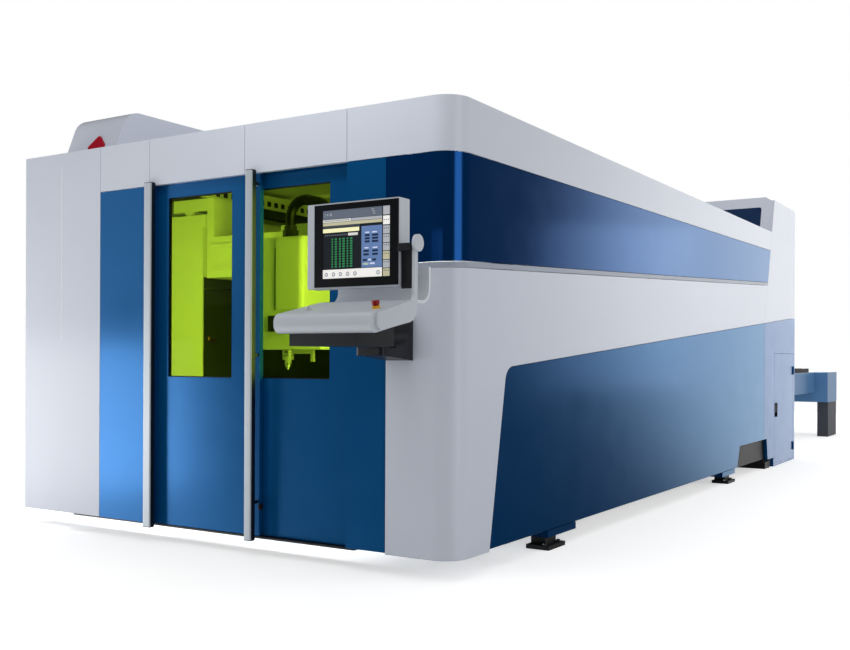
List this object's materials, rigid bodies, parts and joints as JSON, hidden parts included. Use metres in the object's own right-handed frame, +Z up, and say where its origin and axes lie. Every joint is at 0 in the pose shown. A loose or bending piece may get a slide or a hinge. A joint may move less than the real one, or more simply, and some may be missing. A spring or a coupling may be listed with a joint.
{
  "type": "fiber laser cutting machine",
  "caption": "Enclosed flatbed fibre laser cutting machine with telescopic sliding doors, operator console, roof duct, rear portal and two-level pallet changer.",
  "frame": {"origin": "on the floor under the middle of the machine's whole outline", "axes": "+X to the right of someone who faces the doors, +Y from the doors towards the pallet changer, +Z up"},
  "size_m": [3.042, 11.15, 2.455],
  "materials": {
    "panel_white": "satin powder coat",
    "panel_blue": "gloss powder coat",
    "header_white": "satin powder coat",
    "trim_grey": "satin",
    "frame_grey": "satin",
    "dark_steel": "satin",
    "navy": "semi-gloss",
    "steel": "ground",
    "aluminium": "anodised",
    "slat_steel": "mill scale",
    "changer_white": "satin powder coat",
    "window_glass": "tinted laser safety glass",
    "seal_rubber": "matte",
    "hose_black": "satin",
    "copper_nozzle": "turned",
    "signal_red": "translucent",
    "console_grey": "satin",
    "console_dark": "satin",
    "bezel_black": "fine grain",
    "screen": "display",
    "stop_red": "gloss",
    "collar_yellow": "satin",
    "bed_white": "satin",
    "latch_black": "fine grain"
  },
  "bodies": {
    "machine": {"band_corner": "panel_blue", "changer_frame": "changer_white", "console_bracket": "console_dark", "corner_column": "panel_white", "door_jamb_profile": "aluminium", "door_sill": "dark_steel", "door_track": "aluminium", "enclosure_frame": "frame_grey", "foot_brackets": "panel_blue", "front_column": "panel_white", "front_panel_left": "panel_blue", "front_panel_right": "panel_blue", "header_corner": "header_white", "header_panels": "header_white", "left_side_panels": "panel_white", "levelling_feet": "dark_steel", "machine_bed": "bed_white", "pallet_tracks": "changer_white", "portal_hood": "header_white", "portal_inset": "navy", "portal_rear_panel": "panel_white", "portal_side_lower": "panel_blue", "portal_side_upper": "panel_white", "roof_duct": "panel_white", "roof_panels": "header_white", "side_band": "panel_blue", "side_header": "header_white", "side_panel_lower": "panel_blue", "side_panel_middle": "panel_white", "signal_lens": "signal_red", "trim_strip": "trim_grey"},
    "door_left": {"door_leaf_left": "panel_blue", "window_left": "window_glass", "window_seal_left": "seal_rubber", "door_handle_bar": "aluminium"},
    "door_right": {"door_leaf_right": "panel_blue", "window_right": "window_glass", "window_seal_right": "seal_rubber"},
    "gantry": {"gantry_beam": "bed_white"},
    "carriage": {"cross_carriage": "bed_white"},
    "head": {"z_slide": "bed_white", "cutting_head": "dark_steel", "nozzle": "copper_nozzle", "supply_hose": "hose_black"},
    "pallet_low": {"pallet_lower": "slat_steel"},
    "pallet_high": {"pallet_upper": "slat_steel"},
    "gate": {"pallet_gate": "steel"},
    "service_door": {"portal_door": "panel_blue", "portal_door_latch": "latch_black"},
    "console": {"console_arm": "console_dark", "console_tray": "console_grey", "console_back": "console_grey", "monitor_arm": "console_grey", "stop_collar": "collar_yellow"},
    "monitor": {"monitor_housing": "console_grey", "monitor_bezel": "bezel_black", "monitor_screen": "screen"},
    "drawer": {"keyboard_drawer": "console_grey"},
    "stop": {"stop_button": "stop_red"},
    "key": {"key_switch": "steel"}
  },
  "joints": [
    {"name": "door_left_slide", "type": "slide", "parent": "machine", "child": "door_left", "axis": [-1, 0, 0], "range_m": [0, 0.62]},
    {"name": "door_right_slide", "type": "slide", "parent": "machine", "child": "door_right", "axis": [-1, 0, 0], "range_m": [0, 1.24]},
    {"name": "gantry_travel", "type": "slide", "parent": "machine", "child": "gantry", "axis": [0, 1, 0], "range_m": [0, 3]},
    {"name": "cross_travel", "type": "slide", "parent": "gantry", "child": "carriage", "axis": [1, 0, 0], "range_m": [-0.6, 0.9]},
    {"name": "head_lift", "type": "slide", "parent": "carriage", "child": "head", "axis": [0, 0, 1], "range_m": [-0.015, 0.09]},
    {"name": "pallet_low_travel", "type": "slide", "parent": "machine", "child": "pallet_low", "axis": [0, 1, 0], "range_m": [0, 5.55]},
    {"name": "pallet_high_travel", "type": "slide", "parent": "machine", "child": "pallet_high", "axis": [0, -1, 0], "range_m": [0, 5.55]},
    {"name": "gate_drop", "type": "slide", "parent": "machine", "child": "gate", "axis": [0, 0, -1], "range_m": [0, 0.49]},
    {"name": "service_door_hinge", "type": "hinge", "parent": "machine", "child": "service_door", "pos_m": [1.3853, 1.7105, 0.5], "axis": [0, 0, 1], "range_deg": [0, 110]},
    {"name": "console_swing", "type": "hinge", "parent": "machine", "child": "console", "pos_m": [1.107, -4.965, 1.04], "axis": [0, 0, 1], "range_deg": [-40, 75]},
    {"name": "monitor_tilt", "type": "hinge", "parent": "console", "child": "monitor", "pos_m": [1.439, -5.289, 1.411], "axis": [1, 0, 0], "range_deg": [-12, 12]},
    {"name": "drawer_slide", "type": "slide", "parent": "console", "child": "drawer", "axis": [0, -0.9779, -0.2091], "range_m": [0, 0.18]},
    {"name": "stop_press", "type": "slide", "parent": "console", "child": "stop", "axis": [0, 0.2091, -0.9779], "range_m": [0, 0.005], "stiffness_N_per_m": 600},
    {"name": "key_turn", "type": "hinge", "parent": "console", "child": "key", "pos_m": [1.138, -5.475, 1.15638], "axis": [0, -0.2091, 0.9779], "range_deg": [0, 90]}
  ],
  "couplings": [
    {"joint": "door_right_slide", "follows": "door_left_slide", "ratio": 2}
  ]
}
